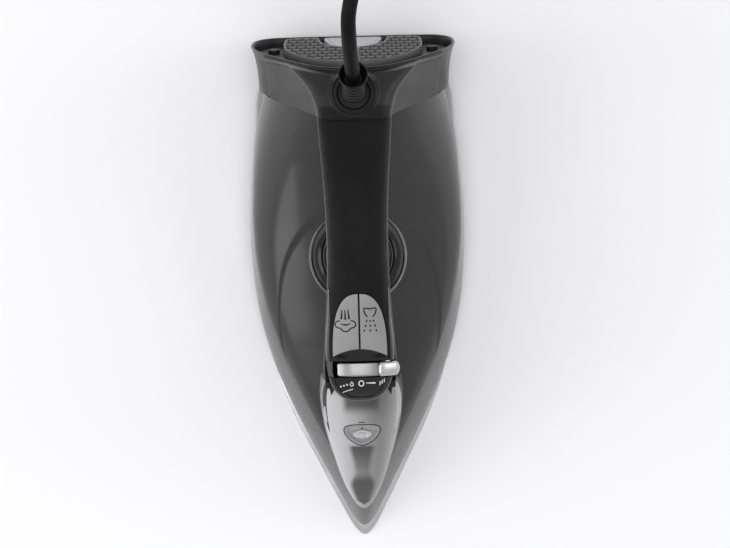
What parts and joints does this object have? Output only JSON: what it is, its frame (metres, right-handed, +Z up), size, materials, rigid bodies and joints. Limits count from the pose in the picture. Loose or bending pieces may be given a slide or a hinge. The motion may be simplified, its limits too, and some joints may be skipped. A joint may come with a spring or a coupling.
{
  "type": "clothes iron",
  "caption": "Steam iron with a pointed soleplate, smoked nose tank, looped handle, dial, steam lever, two buttons and a mains cord.",
  "frame": {"origin": "middle of the iron's length and width, on the surface that its soleplate rests on", "axes": "+Z up, +Y from the tip of the soleplate to the heel, +X across the iron"},
  "size_m": [0.1342, 0.5813, 0.1974],
  "materials": {
    "sole_metal": "fine satin metal, polished by use",
    "steel": "plain bright steel",
    "brass": "plain brass",
    "silicone": "matt silicone",
    "skirt_plastic": "satin dark grey moulding",
    "shell_gloss": "high-gloss dark grey moulding",
    "smoked_tank": "smoke-tinted clear moulding",
    "inner_plastic": "plain white moulding",
    "soft_grip": "soft-touch black with a fine dotted pattern",
    "handle_black": "satin black moulding",
    "panel_black": "gloss black moulding",
    "button_grey": "satin mid-grey moulding",
    "silver_trim": "satin silver lacquer",
    "pad_rubber": "dark grey rubber with a scale pattern",
    "cord_sheath": "black flexible sheath"
  },
  "bodies": {
    "housing": {"soleplate": "sole_metal", "heating_element": "steel", "chamber_gasket": "silicone", "chamber_cover": "steel", "thermostat": "brass", "thermal_fuse": "silicone", "sole_screw_front": "steel", "sole_screw_left": "steel", "sole_screw_right": "steel", "skirt": "skirt_plastic", "upper_shell": "shell_gloss", "water_tank": "smoked_tank", "valve_seal": "silicone", "handle_lower": "handle_black", "handle_grip": "soft_grip", "steam_pump": "inner_plastic", "steam_spring": "steel", "spray_pump": "inner_plastic", "spray_spring": "steel", "lever_track": "silver_trim", "front_bezel": "panel_black", "label_plate": "panel_black", "nose_cover": "smoked_tank", "latch_panel": "panel_black", "spray_nozzle": "silver_trim", "spray_tube": "silicone", "dial_rim": "silver_trim", "heel_collar": "shell_gloss", "heel_plate": "panel_black", "heel_pad_left": "pad_rubber", "heel_screw_left": "steel", "heel_pad_right": "pad_rubber", "heel_screw_right": "steel", "cord_socket": "panel_black", "cord_clamp": "inner_plastic", "terminal_block": "inner_plastic", "heater_wire_left": "silicone", "heater_wire_right": "silicone"},
    "steam_key": {"steam_button": "button_grey", "steam_plunger": "inner_plastic"},
    "spray_key": {"spray_button": "button_grey", "spray_plunger": "inner_plastic"},
    "lever": {"steam_lever": "silver_trim"},
    "valve": {"steam_valve_rod": "steel"},
    "dial": {"temperature_dial": "panel_black", "dial_shaft": "steel"},
    "door": {"filler_door": "smoked_tank"},
    "latch": {"door_latch": "silver_trim"},
    "collector": {"scale_collector": "inner_plastic", "collector_handle": "silver_trim", "collector_seal": "silicone"},
    "cord_swivel": {"cord_boot": "cord_sheath", "cord_lead": "cord_sheath", "cord_coil": "cord_sheath", "cord_tail": "cord_sheath", "plug_body": "cord_sheath", "plug_pin_left": "brass", "plug_pin_right": "brass"}
  },
  "joints": [
    {"name": "steam_press", "type": "slide", "parent": "housing", "child": "steam_key", "axis": [0, 0, -1], "range_m": [0, 0.003], "stiffness_N_per_m": 500, "deforming": ["steam_spring"]},
    {"name": "spray_press", "type": "slide", "parent": "housing", "child": "spray_key", "axis": [0, 0, -1], "range_m": [0, 0.003], "stiffness_N_per_m": 500, "deforming": ["spray_spring"]},
    {"name": "lever_swing", "type": "hinge", "parent": "housing", "child": "lever", "pos_m": [0, -0.0362, 0.0965], "axis": [0, 1, 0], "range_deg": [-60, 0]},
    {"name": "valve_lift", "type": "slide", "parent": "housing", "child": "valve", "axis": [0, 0, 1], "range_m": [-0.0015, 0]},
    {"name": "dial_turn", "type": "hinge", "parent": "housing", "child": "dial", "pos_m": [0, 0.022, 0.0523], "axis": [0, 0, 1], "range_deg": [-270, 0]},
    {"name": "door_open", "type": "hinge", "parent": "housing", "child": "door", "pos_m": [0.0186, -0.062, 0.0876], "axis": [-0.1219, -0.8912, -0.437], "range_deg": [0, 80]},
    {"name": "latch_press", "type": "slide", "parent": "housing", "child": "latch", "axis": [1, 0, 0], "range_m": [0, 0.001], "stiffness_N_per_m": 300},
    {"name": "collector_pull", "type": "slide", "parent": "housing", "child": "collector", "axis": [0, 0.9833, 0.1822], "range_m": [0, 0.03]},
    {"name": "cord_turn", "type": "hinge", "parent": "housing", "child": "cord_swivel", "pos_m": [0, 0.116, 0.13], "axis": [0, 0, 1], "range_deg": [-30, 30]}
  ],
  "couplings": [
    {"joint": "valve_lift", "follows": "lever_swing", "m_per_rad": 0.0014}
  ]
}
